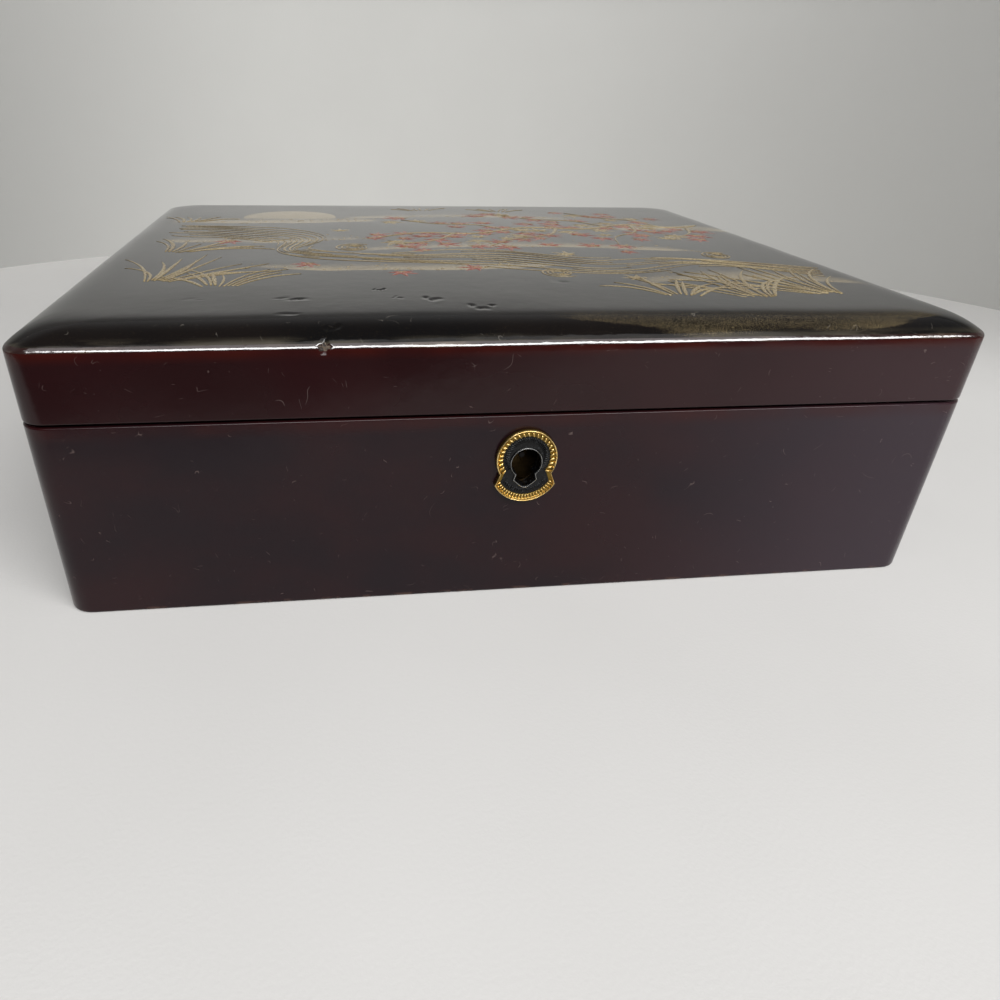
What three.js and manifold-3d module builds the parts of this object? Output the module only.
// A lacquered wooden box with a low domed lid, hung on two butt hinges and closed by a box lock.
// Millimetres, +Z up. The origin is the middle of the underside; the keyhole faces -Y.

import * as THREE from "three";
import { mergeVertices } from "three/addons/utils/BufferGeometryUtils.js";
import Module from "manifold-3d";

const wasm = await Module();
wasm.setup();

// The box outside
const WIDTH = 270;
const DEPTH = 238;
const CASE_HEIGHT = 59;
const LID_GAP = 0.8; // shadow line between the rim and the closed lid
const LID_SIDE_HEIGHT = 19.2; // straight part of the lid's sides, up to the arris
const CORNER_RADIUS = 7.5;
const ROLL_INSET = 11.8; // how far the rolled edge of the top reaches inwards from the arris
const ROLL_SLOPE = THREE.MathUtils.degToRad(45); // of the roll where it leaves the arris
const CROWN = 1.5; // rise of the top inside its rolled edge
const TOP_CORNER_RADIUS = 11; // of the plan corners where the roll ends
const CORNER_STEPS = 6;
const ROLL_STEPS = 6;
const CROWN_STEPS = 5;

// The boards
const CASE_WALL = 9;
const LID_WALL = 8.5;
const FLOOR_THICKNESS = 6;
const FLOOR_REBATE = 4.5; // how far the bottom board reaches under the walls
const TOP_EDGE_THICKNESS = 2; // of the top board below the arris
const TONGUE_THICKNESS = 3;
const TONGUE_LENGTH = 4;
const TONGUE_STOP = 6; // end of the tongues below the rim, and above the lid's foot
const GLUE_LINE = 0.05;
const JOINT_CLEARANCE = 0.2;

// The lip that stands up inside the rim and guides the lid
const LIP_THICKNESS = 2.5;
const LIP_PROUD = 3;
const LIP_CHAMFER = 0.7;

// The hinges
const HINGE_FROM_END = 55; // end of the box to the middle of a hinge
const HINGE_LENGTH = 28;
const HINGE_INSET = 3; // pin axis in front of the back face
const KNUCKLE_RADIUS = 2;
const KNUCKLE_LENGTH = 9; // of the lid leaf's middle knuckle
const HINGE_PIN_RADIUS = 0.9;
const PIN_CLEARANCE = 0.1;
const HINGE_LEAF_THICKNESS = 1.2;
const HINGE_CLEARANCE = 0.3;
const HINGE_SCREW_FROM_END = 5; // end of a leaf to the middle of its screw
const STOP_BEVEL = THREE.MathUtils.degToRad(48); // of both back arrises, which meet when the lid is open

// The lock, let into the front board from inside
const LOCK_WIDTH = 36;
const LOCK_HEIGHT = 26;
const LOCK_PLATE = 1;
const SELVEDGE_THICKNESS = 1.2;
const SELVEDGE_DEPTH = 7;
const LOCK_CASE_WIDTH = 26.8;
const LOCK_CASE_HEIGHT = 22.7;
const LOCK_CASE_DEPTH = 5;
const LOCK_CASE_WALL = 0.8;
const LET_IN = 0.2; // clearance round metal let into wood
const METAL_GAP = 0.1;
const KEY_PIN_RADIUS = 0.9;
const KEY_PIN_LENGTH = 3.5; // in front of the back plate
const LOCK_SCREW_SPACING = 31;
const LOCK_SCREW_TOP_DROP = 6;
const LOCK_SCREW_FOOT_DROP = 21;

// The bolt and the staples that it shoots through
const BOLT_THICKNESS = 1.8;
const BOLT_BAR_HEIGHT = 2.8;
const BOLT_TRAVEL = 4;
const FINGER_DROP = 4.7; // rim to the middle of the fingers
const FINGER_HEIGHT = 2.2;
const UPRIGHT_WIDTH = 2.2;
const FINGER_LEAD = 0.7; // from the drawn-back finger to its staple
const BOLT_CLEARANCE = 0.3;
const TALON_WIDTH = 3.4;
const TALON_HEIGHT = 1.4;
const SHELF_THICKNESS = 0.5;
const KEY_SWEEP = 6.6; // half the room that the turning key needs between the shelves
const STAPLE_SPACING = 12;
const STAPLE_OFFSET = 2; // middle of the two staples, right of the keyhole
const STAPLE_THICKNESS = 1.6;
const STAPLE_SIDE = 0.6; // metal on each side of the eye
const STAPLE_FOOT = 1; // metal below the eye
const STAPLE_CLEARANCE = 0.35;
const SPRING_LENGTH = 14;
const SPRING_THICKNESS = 0.3;
const SPRING_HEIGHT = 1.6;

// The strike plate under the lid's front rail
const STRIKE_WIDTH = 33;
const STRIKE_DEPTH = 5.6;
const STRIKE_THICKNESS = 1.2;
const STRIKE_SCREW_SPACING = 28;

// The keyhole, drawn from the centre of its round head
const KEYHOLE_DROP = 14.1; // rim to that centre
const KEYHOLE_HEAD_RADIUS = 4.3;
const KEYHOLE_NECK_WIDTH = 5.2;
const KEYHOLE_SKIRT_WIDTH = 6.2;
const KEYHOLE_SKIRT_DROP = 5.2;
const KEYHOLE_POINT_DROP = 7.5;
const LINER_WALL = 0.5;
const LINER_PROUD = 0.4; // of the escutcheon's sunk field
const LINER_CLEARANCE = 0.1;

// The escutcheon
const ESCUTCHEON_RADIUS = 8.9;
const ESCUTCHEON_RISE = 1.3; // its centre above the keyhole's
const ESCUTCHEON_NOTCH = THREE.MathUtils.degToRad(31.5); // below its centre's level
const LOBE_RADIUS = 10.2;
const LOBE_DROP = 1.95; // centre of the lower lobe below the keyhole's
const LOBE_TIP = THREE.MathUtils.degToRad(28.5);
const ESCUTCHEON_PLATE = 0.9;
const ESCUTCHEON_RIM_HEIGHT = 1.8;
const ESCUTCHEON_RIM_WIDTH = 2.2;
const SPUR_RADIUS = 0.5;
const SPUR_COVER = 0.8; // wood left behind the spurs' tips

// The screws
const SCREW_LENGTH = 6;
const HINGE_SCREW = { shank: 0.7, head: 1.3 };
const LOCK_SCREW = { shank: 0.8, head: 1.5 };
const SCREW_CLEARANCE = 0.15;
const SCREW_SIDES = 16;
const DRIVER_SLOT = 0.4;

// Levels and faces that several pieces share
const RIM = CASE_HEIGHT;
const LID_FOOT = RIM + LID_GAP;
const ARRIS = LID_FOOT + LID_SIDE_HEIGHT;
const RAIL_TOP = ARRIS - TOP_EDGE_THICKNESS;
const FRONT = -DEPTH / 2;
const CASE_FRONT_INSIDE = FRONT + CASE_WALL;
const HINGE_Y = DEPTH / 2 - HINGE_INSET;
const HINGE_Z = RIM + LID_GAP / 2;
const KEYHOLE_Z = RIM - KEYHOLE_DROP;
const LOCK_CASE_BACK = CASE_FRONT_INSIDE - LOCK_PLATE - METAL_GAP;
const LOCK_CASE_FRONT = CASE_FRONT_INSIDE - LOCK_PLATE - LOCK_CASE_DEPTH;
const LOCK_POCKET_FRONT = LOCK_CASE_FRONT - LET_IN;
const BOLT_Y = (LOCK_CASE_BACK + LOCK_CASE_FRONT + LOCK_CASE_WALL) / 2;
const FINGER_Z = RIM - FINGER_DROP;
const FINGER_LENGTH = BOLT_TRAVEL - FINGER_LEAD + BOLT_CLEARANCE;
const EYE_HEIGHT = FINGER_HEIGHT + 2 * BOLT_CLEARANCE;
const EYE_WIDTH = BOLT_THICKNESS + 2 * BOLT_CLEARANCE;
const STAPLE_WIDTH = EYE_WIDTH + 2 * STAPLE_SIDE;
const STAPLE_LOW = FINGER_Z - EYE_HEIGHT / 2 - STAPLE_FOOT;
const BAR_TOP = STAPLE_LOW - BOLT_CLEARANCE;
const BAR_LOW = BAR_TOP - BOLT_BAR_HEIGHT;

// The materials

function finish(color, roughness, metalness) {
  return new THREE.MeshStandardMaterial({ color, roughness, metalness });
}

const sideLacquer = finish(0x3a2124, 0.25, 0);
const topLacquer = finish(0x15110f, 0.2, 0);
const innerLacquer = finish(0x2a1a12, 0.35, 0);
const giltBrass = finish(0xb08a3c, 0.35, 1);
const brass = finish(0x9a7a3e, 0.4, 1);
const steel = finish(0x8d8f90, 0.4, 1);
const whiteMetal = finish(0xb9b7ae, 0.3, 1);

// Solids: closed meshes in and out of the boolean library

function solidOf(geometry) {
  const bare = geometry.clone();
  bare.deleteAttribute("normal");
  bare.deleteAttribute("uv");
  const merged = mergeVertices(bare, 1e-4);
  const corners = merged.index.array;
  const kept = [];
  for (let i = 0; i < corners.length; i += 3) {
    const [a, b, c] = [corners[i], corners[i + 1], corners[i + 2]];
    if (a !== b && b !== c && c !== a) kept.push(a, b, c);
  }
  const vertProperties = merged.attributes.position.array;
  return new wasm.Manifold(new wasm.Mesh({ numProp: 3, vertProperties, triVerts: Uint32Array.from(kept) }));
}

function geometryOf(solid) {
  const { vertProperties, triVerts } = solid.getMesh();
  const geometry = new THREE.BufferGeometry();
  geometry.setAttribute("position", new THREE.BufferAttribute(vertProperties, 3));
  geometry.setIndex(new THREE.BufferAttribute(triVerts, 1));
  geometry.computeVertexNormals();
  return geometry;
}

function cut(geometry, ...tools) {
  return geometryOf(tools.reduce((solid, tool) => solid.subtract(solidOf(tool)), solidOf(geometry)));
}

function join(geometry, ...others) {
  return geometryOf(others.reduce((solid, other) => solid.add(solidOf(other)), solidOf(geometry)));
}

// Basic shapes

function block([x0, y0, z0], [x1, y1, z1]) {
  const box = new THREE.BoxGeometry(x1 - x0, y1 - y0, z1 - z0);
  return box.translate((x0 + x1) / 2, (y0 + y1) / 2, (z0 + z1) / 2);
}

// An outline in X and Y, raised from z0 to z1
function raised(outline, z0, z1) {
  const options = { depth: z1 - z0, bevelEnabled: false, curveSegments: CORNER_STEPS };
  return new THREE.ExtrudeGeometry(outline, options).translate(0, 0, z0);
}

// An outline in X and Z, running from yFront to yBack
function plaque(outline, yFront, yBack, curveSegments = CORNER_STEPS) {
  const options = { depth: yBack - yFront, bevelEnabled: false, curveSegments };
  return new THREE.ExtrudeGeometry(outline, options).rotateX(Math.PI / 2).translate(0, yBack, 0);
}

// A section in Y and Z, drawn along X from x0 to x1
function moulding(section, x0, x1) {
  const outline = new THREE.Shape(section.map(([y, z]) => new THREE.Vector2(y, z)));
  const turned = new THREE.Matrix4().makeBasis(
    new THREE.Vector3(0, 1, 0),
    new THREE.Vector3(0, 0, 1),
    new THREE.Vector3(1, 0, 0),
  );
  const options = { depth: x1 - x0, bevelEnabled: false };
  return new THREE.ExtrudeGeometry(outline, options).applyMatrix4(turned).translate(x0, 0, 0);
}

function rodAlongX(radius, x0, x1, y, z, sides = 24) {
  const rod = new THREE.CylinderGeometry(radius, radius, x1 - x0, sides).rotateZ(Math.PI / 2);
  return rod.translate((x0 + x1) / 2, y, z);
}

function rodAlongY(radius, y0, y1, x, z, sides = 16) {
  const rod = new THREE.CylinderGeometry(radius, radius, y1 - y0, sides);
  return rod.translate(x, (y0 + y1) / 2, z);
}

function roundedRectangle(width, depth, radius) {
  const [x, y] = [width / 2 - radius, depth / 2 - radius];
  const outline = new THREE.Shape();
  outline.absarc(x, -y, radius, -Math.PI / 2, 0);
  outline.absarc(x, y, radius, 0, Math.PI / 2);
  outline.absarc(-x, y, radius, Math.PI / 2, Math.PI);
  outline.absarc(-x, -y, radius, Math.PI, 1.5 * Math.PI);
  outline.closePath();
  return outline;
}

// Moves an anticlockwise outline outwards by a distance, or inwards by a negative one
function grown(points, distance) {
  return points.map((point, i) => {
    const before = points[(i + points.length - 1) % points.length];
    const after = points[(i + 1) % points.length];
    const a = new THREE.Vector2(point.y - before.y, before.x - point.x).normalize();
    const b = new THREE.Vector2(after.y - point.y, point.x - after.x).normalize();
    const out = a.clone().add(b).normalize();
    return point.clone().addScaledVector(out, distance / Math.max(out.dot(a), 0.5));
  });
}

// The boards

// Plan of a front board, as wide as the box and with its two outer corners rounded
function frontBoardPlan(thickness) {
  const x = WIDTH / 2 - CORNER_RADIUS;
  const y = FRONT + CORNER_RADIUS;
  const plan = new THREE.Shape();
  plan.absarc(-x, y, CORNER_RADIUS, Math.PI, 1.5 * Math.PI);
  plan.absarc(x, y, CORNER_RADIUS, 1.5 * Math.PI, 2 * Math.PI);
  plan.lineTo(WIDTH / 2, FRONT + thickness);
  plan.lineTo(-WIDTH / 2, FRONT + thickness);
  plan.closePath();
  return plan;
}

// Tongue of a side board, or the groove for it once it is given a clearance
function tongue(side, thickness, low, high, clearance) {
  const middle = side * (WIDTH / 2 - thickness / 2);
  const half = TONGUE_THICKNESS / 2 + clearance;
  const reach = DEPTH / 2 - thickness + TONGUE_LENGTH + clearance;
  return block([middle - half, -reach, low - clearance], [middle + half, reach, high + clearance]);
}

function caseTongue(side, clearance) {
  return tongue(side, CASE_WALL, FLOOR_THICKNESS + TONGUE_STOP, RIM - TONGUE_STOP, clearance);
}

function lidTongue(side, clearance) {
  return tongue(side, LID_WALL, LID_FOOT + TONGUE_STOP, RAIL_TOP - TONGUE_STOP / 2, clearance);
}

function endBoard(thickness, low, high, itsTongue) {
  const board = raised(frontBoardPlan(thickness), low, high);
  return cut(board, itsTongue(-1, JOINT_CLEARANCE), itsTongue(1, JOINT_CLEARANCE));
}

function sideBoard(side, thickness, low, high, itsTongue) {
  const outer = (side * WIDTH) / 2;
  const inner = side * (WIDTH / 2 - thickness);
  const end = DEPTH / 2 - thickness - GLUE_LINE;
  const [x0, x1] = [Math.min(outer, inner), Math.max(outer, inner)];
  return join(block([x0, -end, low], [x1, end, high]), itsTongue);
}

function bottomBoard(growth) {
  const x = WIDTH / 2 - CASE_WALL + FLOOR_REBATE + growth;
  const y = DEPTH / 2 - CASE_WALL + FLOOR_REBATE + growth;
  return block([-x, -y, -Math.abs(growth)], [x, y, FLOOR_THICKNESS + growth]);
}

// The back arrises of case and lid are bevelled by a wedge whose point is the pin's axis
function stopWedge() {
  const back = DEPTH / 2 + 1;
  const rise = (back - HINGE_Y) * Math.tan(STOP_BEVEL);
  const section = [[HINGE_Y, HINGE_Z], [back, HINGE_Z - rise], [back, HINGE_Z + rise]];
  return moulding(section, -WIDTH / 2 - 1, WIDTH / 2 + 1);
}

function caseFrontBoard() {
  return cut(
    endBoard(CASE_WALL, 0, RIM, caseTongue),
    bottomBoard(GLUE_LINE),
    ...lockPockets(),
    keyhole(LINER_WALL + LINER_CLEARANCE, FRONT - 1, LOCK_POCKET_FRONT + 1),
    ...spurs(LET_IN),
    ...lockScrewPlaces().map(([x, z]) => rodAlongY(...screwHole(LOCK_SCREW, -1), x, z)),
  );
}

function caseBackBoard() {
  const board = endBoard(CASE_WALL, 0, RIM, caseTongue).rotateZ(Math.PI);
  const holes = hingeScrewPlaces().map(([x, y]) => screwHoleAlongZ(HINGE_SCREW, x, y, RIM, -1));
  const hinges = [-1, 1].flatMap((side) => hingeGain(side, RIM - HINGE_LEAF_THICKNESS - LET_IN, RIM + 1));
  return cut(board, bottomBoard(GLUE_LINE), stopWedge(), ...hinges, ...holes);
}

function caseSideBoard(side) {
  return cut(sideBoard(side, CASE_WALL, 0, RIM, caseTongue(side, 0)), bottomBoard(GLUE_LINE));
}

function lidFrontRail() {
  const board = endBoard(LID_WALL, LID_FOOT, RAIL_TOP, lidTongue);
  const holes = strikeScrewPlaces().map(([x, y]) => screwHoleAlongZ(HINGE_SCREW, x, y, LID_FOOT, 1));
  return cut(board, strikeBlank(LET_IN), ...holes);
}

function lidBackRail() {
  const board = endBoard(LID_WALL, LID_FOOT, RAIL_TOP, lidTongue).rotateZ(Math.PI);
  const holes = hingeScrewPlaces().map(([x, y]) => screwHoleAlongZ(HINGE_SCREW, x, y, LID_FOOT, 1));
  const gainTop = LID_FOOT + HINGE_LEAF_THICKNESS + LET_IN;
  const hinges = [-1, 1].flatMap((side) => hingeGain(side, LID_FOOT - 1, gainTop));
  return cut(board, stopWedge(), ...hinges, ...holes);
}

function lidSideRail(side) {
  return sideBoard(side, LID_WALL, LID_FOOT, RAIL_TOP, lidTongue(side, 0));
}

// Level rings of the top board: its straight edge, the rolled edge and the crown
function topBoardRings() {
  const rollRadius = ROLL_INSET / Math.sin(ROLL_SLOPE);
  const ring = (inset, z, radius) =>
    roundedRectangle(WIDTH - 2 * inset, DEPTH - 2 * inset, radius)
      .getPoints(CORNER_STEPS)
      .map((point) => new THREE.Vector3(point.x, point.y, z));
  const rings = [ring(0, RAIL_TOP + GLUE_LINE, CORNER_RADIUS)];
  for (let i = 0; i <= ROLL_STEPS; i++) {
    const slope = ROLL_SLOPE * (1 - i / ROLL_STEPS);
    const inset = rollRadius * (Math.sin(ROLL_SLOPE) - Math.sin(slope));
    const rise = rollRadius * (Math.cos(slope) - Math.cos(ROLL_SLOPE));
    const radius = THREE.MathUtils.lerp(CORNER_RADIUS, TOP_CORNER_RADIUS, inset / ROLL_INSET);
    rings.push(ring(inset, ARRIS + rise, radius));
  }
  const last = rings[rings.length - 1];
  for (let i = 1; i < CROWN_STEPS; i++) {
    const out = 1 - i / CROWN_STEPS;
    const z = last[0].z + CROWN * (1 - out * out);
    rings.push(last.map((point) => new THREE.Vector3(point.x * out, point.y * out, z)));
  }
  return rings;
}

function lidTopBoard() {
  const rings = topBoardRings();
  const count = rings[0].length;
  const roof = rings[rings.length - 1][0].z;
  const points = [...rings.flat(), new THREE.Vector3(0, 0, rings[0][0].z), new THREE.Vector3(0, 0, roof)];
  const index = [];
  for (let i = 0; i < count; i++) {
    const next = (i + 1) % count;
    rings.slice(1).forEach((_, level) => {
      const [a, b] = [level * count + i, level * count + next];
      index.push(a, b, b + count, a, b + count, a + count);
    });
    const top = (rings.length - 1) * count;
    index.push(points.length - 2, next, i, points.length - 1, top + i, top + next);
  }
  return new THREE.BufferGeometry().setFromPoints(points).setIndex(index);
}

// The lip: thin boards glued inside the walls

// Section across a wall, from the wall's inner face at "wall" towards the inside
function lipSection(wall, inwards) {
  const [foot, top] = [FLOOR_THICKNESS + GLUE_LINE, RIM + LIP_PROUD];
  const glued = wall + inwards * GLUE_LINE;
  const inside = wall + inwards * LIP_THICKNESS;
  const eased = glued + inwards * LIP_CHAMFER;
  return [[glued, foot], [inside, foot], [inside, top], [eased, top], [glued, top - LIP_CHAMFER]];
}

function lipAcross(inwards, x0, x1) {
  const section = lipSection(-inwards * (DEPTH / 2 - CASE_WALL), inwards);
  return moulding(inwards > 0 ? section : section.reverse(), x0, x1);
}

function lipAlong(side) {
  const half = DEPTH / 2 - CASE_WALL - LIP_THICKNESS - JOINT_CLEARANCE;
  const section = lipSection(-(WIDTH / 2 - CASE_WALL), 1);
  return moulding(section, -half, half).rotateZ(side > 0 ? Math.PI / 2 : -Math.PI / 2);
}

// The screws

// Countersunk and slotted, with its head's top at the origin and its point down
function screw({ shank, head }) {
  const cone = head - shank;
  const profile = [
    [0, -SCREW_LENGTH],
    [shank, -SCREW_LENGTH + shank],
    [shank, -cone],
    [head, 0],
    [0, 0],
  ].map(([r, y]) => new THREE.Vector2(r, y));
  const body = new THREE.LatheGeometry(profile, SCREW_SIDES).rotateX(Math.PI / 2);
  const slot = block([-head, -DRIVER_SLOT / 2, -DRIVER_SLOT], [head, DRIVER_SLOT / 2, 1]);
  return cut(body, slot);
}

// Radius and ends along Y of the pilot hole of a screw driven from the case's inside
function screwHole({ shank }, direction) {
  const tip = CASE_FRONT_INSIDE + direction * (SCREW_LENGTH + LET_IN);
  return [shank + SCREW_CLEARANCE, tip, CASE_FRONT_INSIDE + 1];
}

function screwHoleAlongZ({ shank }, x, y, level, direction) {
  const reach = SCREW_LENGTH + LET_IN;
  const radius = shank + SCREW_CLEARANCE;
  const hole = new THREE.CylinderGeometry(radius, radius, reach, SCREW_SIDES);
  return hole.rotateX(Math.PI / 2).translate(x, y, level + (direction * reach) / 2);
}

// The countersink that a screw's head fills in a plate, its mouth facing +Z at the origin
function countersink({ shank, head }) {
  const grow = SCREW_CLEARANCE;
  const cone = head - shank;
  const profile = [
    [0, -SCREW_LENGTH],
    [shank + grow, -SCREW_LENGTH],
    [shank + grow, -cone],
    [head + grow, 0],
    [head + grow, 1],
    [0, 1],
  ].map(([r, y]) => new THREE.Vector2(r, y));
  return new THREE.LatheGeometry(profile, SCREW_SIDES).rotateX(Math.PI / 2);
}

// The hinges

function hingeX(side) {
  return side * (WIDTH / 2 - HINGE_FROM_END);
}

function leafFront() {
  return DEPTH / 2 - CASE_WALL + HINGE_CLEARANCE;
}

function hingeScrewPlaces() {
  const y = (leafFront() + HINGE_Y - KNUCKLE_RADIUS - HINGE_CLEARANCE) / 2;
  const half = HINGE_LENGTH / 2 - HINGE_SCREW_FROM_END;
  return [-1, 1].flatMap((side) => [[hingeX(side) - half, y], [hingeX(side) + half, y]]);
}

// Room in the wood for a leaf between two levels, and for the knuckles
function hingeGain(side, low, high) {
  const x = hingeX(side);
  const half = HINGE_LENGTH / 2 + LET_IN;
  return [
    block([x - half, leafFront() - CASE_WALL, low], [x + half, HINGE_Y, high]),
    rodAlongX(KNUCKLE_RADIUS + HINGE_CLEARANCE, x - half, x + half, HINGE_Y, HINGE_Z),
  ];
}

function leafPlate(x, low, high) {
  const half = HINGE_LENGTH / 2;
  return block([x - half, leafFront(), low], [x + half, HINGE_Y, high]);
}

function knuckle(x0, x1, radius = KNUCKLE_RADIUS) {
  return rodAlongX(radius, x0, x1, HINGE_Y, HINGE_Z);
}

function screwedLeaf(side, leaf, face, turned) {
  const screws = hingeScrewPlaces().filter(([x]) => x * side > 0);
  const sinks = screws.map(([x, y]) => countersink(HINGE_SCREW).rotateX(turned).translate(x, y, face));
  const x = hingeX(side);
  const bore = knuckle(x - HINGE_LENGTH, x + HINGE_LENGTH, HINGE_PIN_RADIUS + PIN_CLEARANCE);
  return cut(leaf, bore, ...sinks);
}

function caseLeaf(side) {
  const x = hingeX(side);
  const half = HINGE_LENGTH / 2;
  const middle = KNUCKLE_LENGTH / 2 + HINGE_CLEARANCE;
  const plate = leafPlate(x, RIM - HINGE_LEAF_THICKNESS, RIM);
  const knuckles = join(plate, knuckle(x - half, x - middle), knuckle(x + middle, x + half));
  const room = knuckle(x - middle, x + middle, KNUCKLE_RADIUS + HINGE_CLEARANCE);
  return screwedLeaf(side, cut(knuckles, room), RIM, 0);
}

function lidLeaf(side) {
  const x = hingeX(side);
  const half = HINGE_LENGTH / 2;
  const middle = KNUCKLE_LENGTH / 2;
  const plate = leafPlate(x, LID_FOOT, LID_FOOT + HINGE_LEAF_THICKNESS);
  const rooms = [
    knuckle(x - half - 1, x - middle, KNUCKLE_RADIUS + HINGE_CLEARANCE),
    knuckle(x + middle, x + half + 1, KNUCKLE_RADIUS + HINGE_CLEARANCE),
  ];
  return screwedLeaf(side, join(cut(plate, ...rooms), knuckle(x - middle, x + middle)), LID_FOOT, Math.PI);
}

function hingePin(side) {
  const half = HINGE_LENGTH / 2;
  return knuckle(hingeX(side) - half, hingeX(side) + half, HINGE_PIN_RADIUS);
}

// The keyhole and its furniture

function keyholeOutline(growth) {
  const neck = KEYHOLE_NECK_WIDTH / 2;
  const skirt = KEYHOLE_SKIRT_WIDTH / 2;
  const foot = KEYHOLE_Z - KEYHOLE_POINT_DROP;
  const shoulder = Math.acos(neck / KEYHOLE_HEAD_RADIUS);
  const outline = new THREE.Shape();
  outline.absarc(0, KEYHOLE_Z, KEYHOLE_HEAD_RADIUS, -shoulder, Math.PI + shoulder);
  outline.lineTo(-skirt, KEYHOLE_Z - KEYHOLE_SKIRT_DROP);
  outline.quadraticCurveTo(-skirt / 4, foot, 0, foot);
  outline.quadraticCurveTo(skirt / 4, foot, skirt, KEYHOLE_Z - KEYHOLE_SKIRT_DROP);
  outline.closePath();
  return grown(distinct(outline.getPoints(CORNER_STEPS * 2)), growth);
}

// The points of a closed outline, each one once
function distinct(points) {
  return points.filter((point, i) => point.distanceTo(points[(i + 1) % points.length]) > 1e-4);
}

function keyhole(growth, yFront, yBack) {
  return plaque(new THREE.Shape(keyholeOutline(growth)), yFront, yBack);
}

// The escutcheon's edge, or the inner edge of its rim at an inset
function escutcheonOutline(inset) {
  const head = KEYHOLE_Z + ESCUTCHEON_RISE;
  const lobe = KEYHOLE_Z - LOBE_DROP;
  const [headRadius, lobeRadius] = [ESCUTCHEON_RADIUS - inset, LOBE_RADIUS - inset];
  const outline = new THREE.Shape();
  outline.absarc(0, head, headRadius, -ESCUTCHEON_NOTCH, Math.PI + ESCUTCHEON_NOTCH);
  outline.absarc(0, lobe, lobeRadius, Math.PI + LOBE_TIP, 2 * Math.PI - LOBE_TIP);
  outline.closePath();
  return distinct(outline.getPoints(CORNER_STEPS * 3));
}

// Short spurs on the escutcheon's back, or the holes for them once they are given a clearance
function spurs(clearance) {
  const tip = LOCK_POCKET_FRONT - SPUR_COVER + clearance;
  const middles = [
    KEYHOLE_Z + ESCUTCHEON_RISE + ESCUTCHEON_RADIUS - ESCUTCHEON_RIM_WIDTH / 2,
    KEYHOLE_Z - LOBE_DROP - LOBE_RADIUS + ESCUTCHEON_RIM_WIDTH / 2,
  ];
  return middles.map((z) => rodAlongY(SPUR_RADIUS + clearance, FRONT - ESCUTCHEON_PLATE / 2, tip, 0, z, 12));
}

function escutcheon() {
  const outline = escutcheonOutline(0);
  const plate = new THREE.Shape(outline);
  plate.holes.push(new THREE.Path(keyholeOutline(LINER_WALL + LINER_CLEARANCE)));
  const rim = new THREE.Shape(outline);
  rim.holes.push(new THREE.Path(escutcheonOutline(ESCUTCHEON_RIM_WIDTH)));
  const face = FRONT - GLUE_LINE;
  return join(
    plaque(plate, face - ESCUTCHEON_PLATE, face),
    plaque(rim, face - ESCUTCHEON_RIM_HEIGHT, face),
    ...spurs(0),
  );
}

function keyholeLiner() {
  const wall = new THREE.Shape(keyholeOutline(LINER_WALL));
  wall.holes.push(new THREE.Path(keyholeOutline(0)));
  return plaque(wall, FRONT - GLUE_LINE - ESCUTCHEON_PLATE - LINER_PROUD, LOCK_POCKET_FRONT);
}

// The lock

function lockPockets() {
  const plate = LOCK_WIDTH / 2 + LET_IN;
  const plateFront = CASE_FRONT_INSIDE - LOCK_PLATE - LET_IN;
  const works = LOCK_CASE_WIDTH / 2 + LET_IN;
  const selvedge = RIM - SELVEDGE_THICKNESS - LET_IN;
  const caseLow = selvedge - LOCK_CASE_HEIGHT - LET_IN;
  const back = CASE_FRONT_INSIDE + 1;
  return [
    block([-plate, plateFront, RIM - LOCK_HEIGHT - LET_IN], [plate, back, RIM + 1]),
    block([-plate, CASE_FRONT_INSIDE - SELVEDGE_DEPTH - LET_IN, selvedge], [plate, back, RIM + 1]),
    block([-works, LOCK_POCKET_FRONT, caseLow], [works, back, RIM]),
  ];
}

function lockScrewPlaces() {
  const levels = [RIM - LOCK_SCREW_TOP_DROP, RIM - LOCK_SCREW_FOOT_DROP];
  return levels.flatMap((z) => [-1, 1].map((side) => [(side * LOCK_SCREW_SPACING) / 2, z]));
}

function lockBackPlate() {
  const half = LOCK_WIDTH / 2;
  const corner = [half, CASE_FRONT_INSIDE, RIM];
  const under = RIM - SELVEDGE_THICKNESS;
  const plate = join(
    block([-half, CASE_FRONT_INSIDE - LOCK_PLATE, RIM - LOCK_HEIGHT], corner),
    block([-half, CASE_FRONT_INSIDE - SELVEDGE_DEPTH, under], corner),
  );
  const slots = stapleXs().map((x) => stapleBlock(x, under - 1, RIM + 1, STAPLE_CLEARANCE));
  const sinks = lockScrewPlaces().map(([x, z]) =>
    countersink(LOCK_SCREW).rotateX(-Math.PI / 2).translate(x, CASE_FRONT_INSIDE, z),
  );
  const [front, back] = [CASE_FRONT_INSIDE - LOCK_PLATE - 1, CASE_FRONT_INSIDE + 1];
  const pinHole = rodAlongY(KEY_PIN_RADIUS + METAL_GAP, front, back, 0, KEYHOLE_Z);
  return cut(plate, ...slots, ...sinks, pinHole);
}

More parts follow.
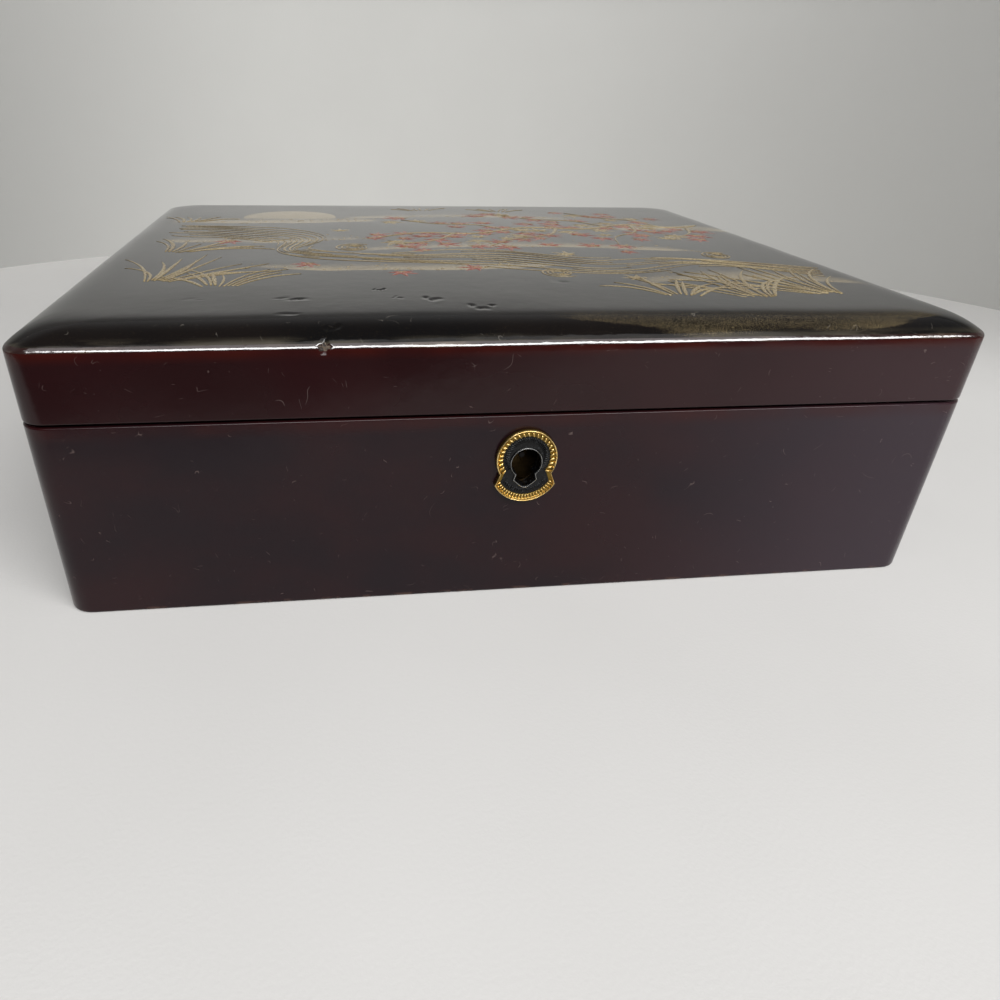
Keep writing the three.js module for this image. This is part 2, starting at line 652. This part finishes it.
// A tray that covers the works, open towards the back plate and the selvedge
function lockCase() {
  const half = LOCK_CASE_WIDTH / 2;
  const top = RIM - SELVEDGE_THICKNESS - METAL_GAP;
  const low = top - LOCK_CASE_HEIGHT;
  const inside = half - LOCK_CASE_WALL;
  const inFront = LOCK_CASE_FRONT + LOCK_CASE_WALL;
  const tray = cut(
    block([-half, LOCK_CASE_FRONT, low], [half, LOCK_CASE_BACK, top]),
    block([-inside, inFront, low + LOCK_CASE_WALL], [inside, LOCK_CASE_BACK + 1, top + 1]),
    keyhole(0, LOCK_CASE_FRONT - 1, inFront + 1),
  );
  const shelfTop = BAR_LOW - BOLT_CLEARANCE;
  const shelves = [-1, 1].map((side) => {
    const [x0, x1] = [side * KEY_SWEEP, side * (half - LOCK_CASE_WALL / 2)];
    return block(
      [Math.min(x0, x1), LOCK_CASE_FRONT + LOCK_CASE_WALL / 2, shelfTop - SHELF_THICKNESS],
      [Math.max(x0, x1), LOCK_CASE_BACK, shelfTop],
    );
  });
  return join(tray, ...shelves);
}

function lockKeyPin() {
  const tip = CASE_FRONT_INSIDE - LOCK_PLATE - KEY_PIN_LENGTH;
  return rodAlongY(KEY_PIN_RADIUS, tip, CASE_FRONT_INSIDE, 0, KEYHOLE_Z);
}

// Left edge of the upright whose finger enters the staple at x
function uprightLeft(x) {
  return x - STAPLE_THICKNESS / 2 - FINGER_LEAD - FINGER_LENGTH - UPRIGHT_WIDTH;
}

function lockBolt() {
  const [y0, y1] = [BOLT_Y - BOLT_THICKNESS / 2, BOLT_Y + BOLT_THICKNESS / 2];
  const fingerTop = FINGER_Z + FINGER_HEIGHT / 2;
  const arms = stapleXs().flatMap((x) => {
    const left = uprightLeft(x);
    const right = left + UPRIGHT_WIDTH;
    return [
      block([left, y0, BAR_TOP - BOLT_BAR_HEIGHT / 2], [right, y1, fingerTop]),
      block([left, y0, FINGER_Z - FINGER_HEIGHT / 2], [right + FINGER_LENGTH, y1, fingerTop]),
    ];
  });
  const barEnd = LOCK_CASE_WIDTH / 2 - LOCK_CASE_WALL - BOLT_TRAVEL - BOLT_CLEARANCE;
  const bar = block([uprightLeft(stapleXs()[0]), y0, BAR_LOW], [barEnd, y1, BAR_TOP]);
  const middle = -BOLT_TRAVEL / 2;
  const talon = block(
    [middle - TALON_WIDTH / 2, y0 - 1, BAR_LOW - 1],
    [middle + TALON_WIDTH / 2, y1 + 1, BAR_LOW + TALON_HEIGHT],
  );
  return cut(join(bar, ...arms), talon);
}

// A bowed leaf that leans on the back plate with both ends and presses the bolt with its middle
function lockSpring() {
  const plateFace = CASE_FRONT_INSIDE - LOCK_PLATE - METAL_GAP;
  const boltFace = BOLT_Y + BOLT_THICKNESS / 2 + METAL_GAP;
  const bow = plateFace - boltFace - SPRING_THICKNESS;
  const steps = 12;
  const along = Array.from({ length: steps + 1 }, (_, i) => (2 * i) / steps - 1);
  const near = along.map((t) => new THREE.Vector2((t * SPRING_LENGTH) / 2, plateFace - bow * (1 - t * t)));
  const far = near.map((point) => new THREE.Vector2(point.x, point.y - SPRING_THICKNESS)).reverse();
  const level = (BAR_LOW + BAR_TOP) / 2;
  const half = SPRING_HEIGHT / 2;
  const leaf = raised(new THREE.Shape([...near, ...far]), level - half, level + half);
  return leaf.translate((uprightLeft(stapleXs()[0]) + uprightLeft(stapleXs()[1])) / 2, 0, 0);
}

// The strike on the lid

function stapleXs() {
  return [STAPLE_OFFSET - STAPLE_SPACING / 2, STAPLE_OFFSET + STAPLE_SPACING / 2];
}

function stapleBlock(x, low, high, clearance) {
  const [halfX, halfY] = [STAPLE_THICKNESS / 2 + clearance, STAPLE_WIDTH / 2 + clearance];
  return block([x - halfX, BOLT_Y - halfY, low], [x + halfX, BOLT_Y + halfY, high]);
}

// The strike plate's outer form, or its pocket once it is given a clearance
function strikeBlank(clearance) {
  const [halfX, halfY] = [STRIKE_WIDTH / 2 + clearance, STRIKE_DEPTH / 2 + clearance];
  return block(
    [-halfX, BOLT_Y - halfY, LID_FOOT - clearance],
    [halfX, BOLT_Y + halfY, LID_FOOT + STRIKE_THICKNESS + clearance],
  );
}

function strikeScrewPlaces() {
  return [-1, 1].map((side) => [(side * STRIKE_SCREW_SPACING) / 2, BOLT_Y]);
}

function strikePlate() {
  const above = LID_FOOT + STRIKE_THICKNESS + 1;
  const sockets = stapleXs().map((x) => stapleBlock(x, LID_FOOT - 1, above, METAL_GAP));
  const sinks = strikeScrewPlaces().map(([x, y]) =>
    countersink(HINGE_SCREW).rotateX(Math.PI).translate(x, y, LID_FOOT),
  );
  return cut(strikeBlank(0), ...sockets, ...sinks);
}

function strikeStaple(x) {
  const eye = block(
    [x - STAPLE_THICKNESS, BOLT_Y - EYE_WIDTH / 2, FINGER_Z - EYE_HEIGHT / 2],
    [x + STAPLE_THICKNESS, BOLT_Y + EYE_WIDTH / 2, FINGER_Z + EYE_HEIGHT / 2],
  );
  return cut(stapleBlock(x, STAPLE_LOW, LID_FOOT + STRIKE_THICKNESS, 0), eye);
}

// The assembly

function piece(name, geometry, material) {
  const mesh = new THREE.Mesh(geometry, material);
  mesh.name = name;
  return mesh;
}

const sides = [[-1, "left"], [1, "right"]];

function caseWork() {
  const group = new THREE.Group();
  const [lipEnd, lockEdge] = [WIDTH / 2 - CASE_WALL - GLUE_LINE, LOCK_WIDTH / 2 + LET_IN];
  group.add(
    piece("case_front_board", caseFrontBoard(), sideLacquer),
    piece("case_back_board", caseBackBoard(), sideLacquer),
    piece("case_bottom_board", bottomBoard(-GLUE_LINE).translate(0, 0, GLUE_LINE), sideLacquer),
    piece("lip_front_left", lipAcross(1, -lipEnd, -lockEdge), innerLacquer),
    piece("lip_front_right", lipAcross(1, lockEdge, lipEnd), innerLacquer),
    piece("lip_back", lipAcross(-1, -lipEnd, lipEnd), innerLacquer),
  );
  sides.forEach(([side, name]) => {
    group.add(
      piece("case_" + name + "_board", caseSideBoard(side), sideLacquer),
      piece("lip_" + name, lipAlong(side), innerLacquer),
    );
  });
  return group;
}

function lidWork() {
  const group = new THREE.Group();
  group.add(
    piece("lid_front_rail", lidFrontRail(), sideLacquer),
    piece("lid_back_rail", lidBackRail(), sideLacquer),
    piece("lid_top_board", lidTopBoard(), topLacquer),
  );
  sides.forEach(([side, name]) => group.add(piece("lid_" + name + "_rail", lidSideRail(side), sideLacquer)));
  return group;
}

function placedScrew(name, kind, [x, y, z], turn) {
  const mesh = piece(name, screw(kind), brass);
  mesh.position.set(x, y, z);
  mesh.rotation.x = turn;
  return mesh;
}

function hinges() {
  const group = new THREE.Group();
  sides.forEach(([side, name]) => {
    group.add(
      piece("hinge_" + name + "_case_leaf", caseLeaf(side), brass),
      piece("hinge_" + name + "_lid_leaf", lidLeaf(side), brass),
      piece("hinge_" + name + "_pin", hingePin(side), steel),
    );
    const places = hingeScrewPlaces().filter(([x]) => x * side > 0);
    places.forEach(([x, y], i) => {
      const number = i + 1;
      group.add(
        placedScrew("hinge_" + name + "_case_screw_" + number, HINGE_SCREW, [x, y, RIM], 0),
        placedScrew("hinge_" + name + "_lid_screw_" + number, HINGE_SCREW, [x, y, LID_FOOT], Math.PI),
      );
    });
  });
  return group;
}

function lock() {
  const group = new THREE.Group();
  group.add(
    piece("lock_back_plate", lockBackPlate(), brass),
    piece("lock_case", lockCase(), brass),
    piece("lock_key_pin", lockKeyPin(), steel),
    piece("lock_spring", lockSpring(), steel),
    piece("lock_bolt", lockBolt(), steel),
    piece("escutcheon", escutcheon(), giltBrass),
    piece("keyhole_liner", keyholeLiner(), whiteMetal),
  );
  lockScrewPlaces().forEach(([x, z], i) => {
    group.add(placedScrew("lock_screw_" + (i + 1), LOCK_SCREW, [x, CASE_FRONT_INSIDE, z], -Math.PI / 2));
  });
  return group;
}

function strike() {
  const group = new THREE.Group();
  group.add(piece("strike_plate", strikePlate(), brass));
  stapleXs().forEach((x, i) => group.add(piece("strike_staple_" + sides[i][1], strikeStaple(x), brass)));
  strikeScrewPlaces().forEach(([x, y], i) => {
    group.add(placedScrew("strike_screw_" + sides[i][1], HINGE_SCREW, [x, y, LID_FOOT], Math.PI));
  });
  return group;
}

const box = new THREE.Group();
box.add(caseWork(), lidWork(), hinges(), lock(), strike());

export default box;
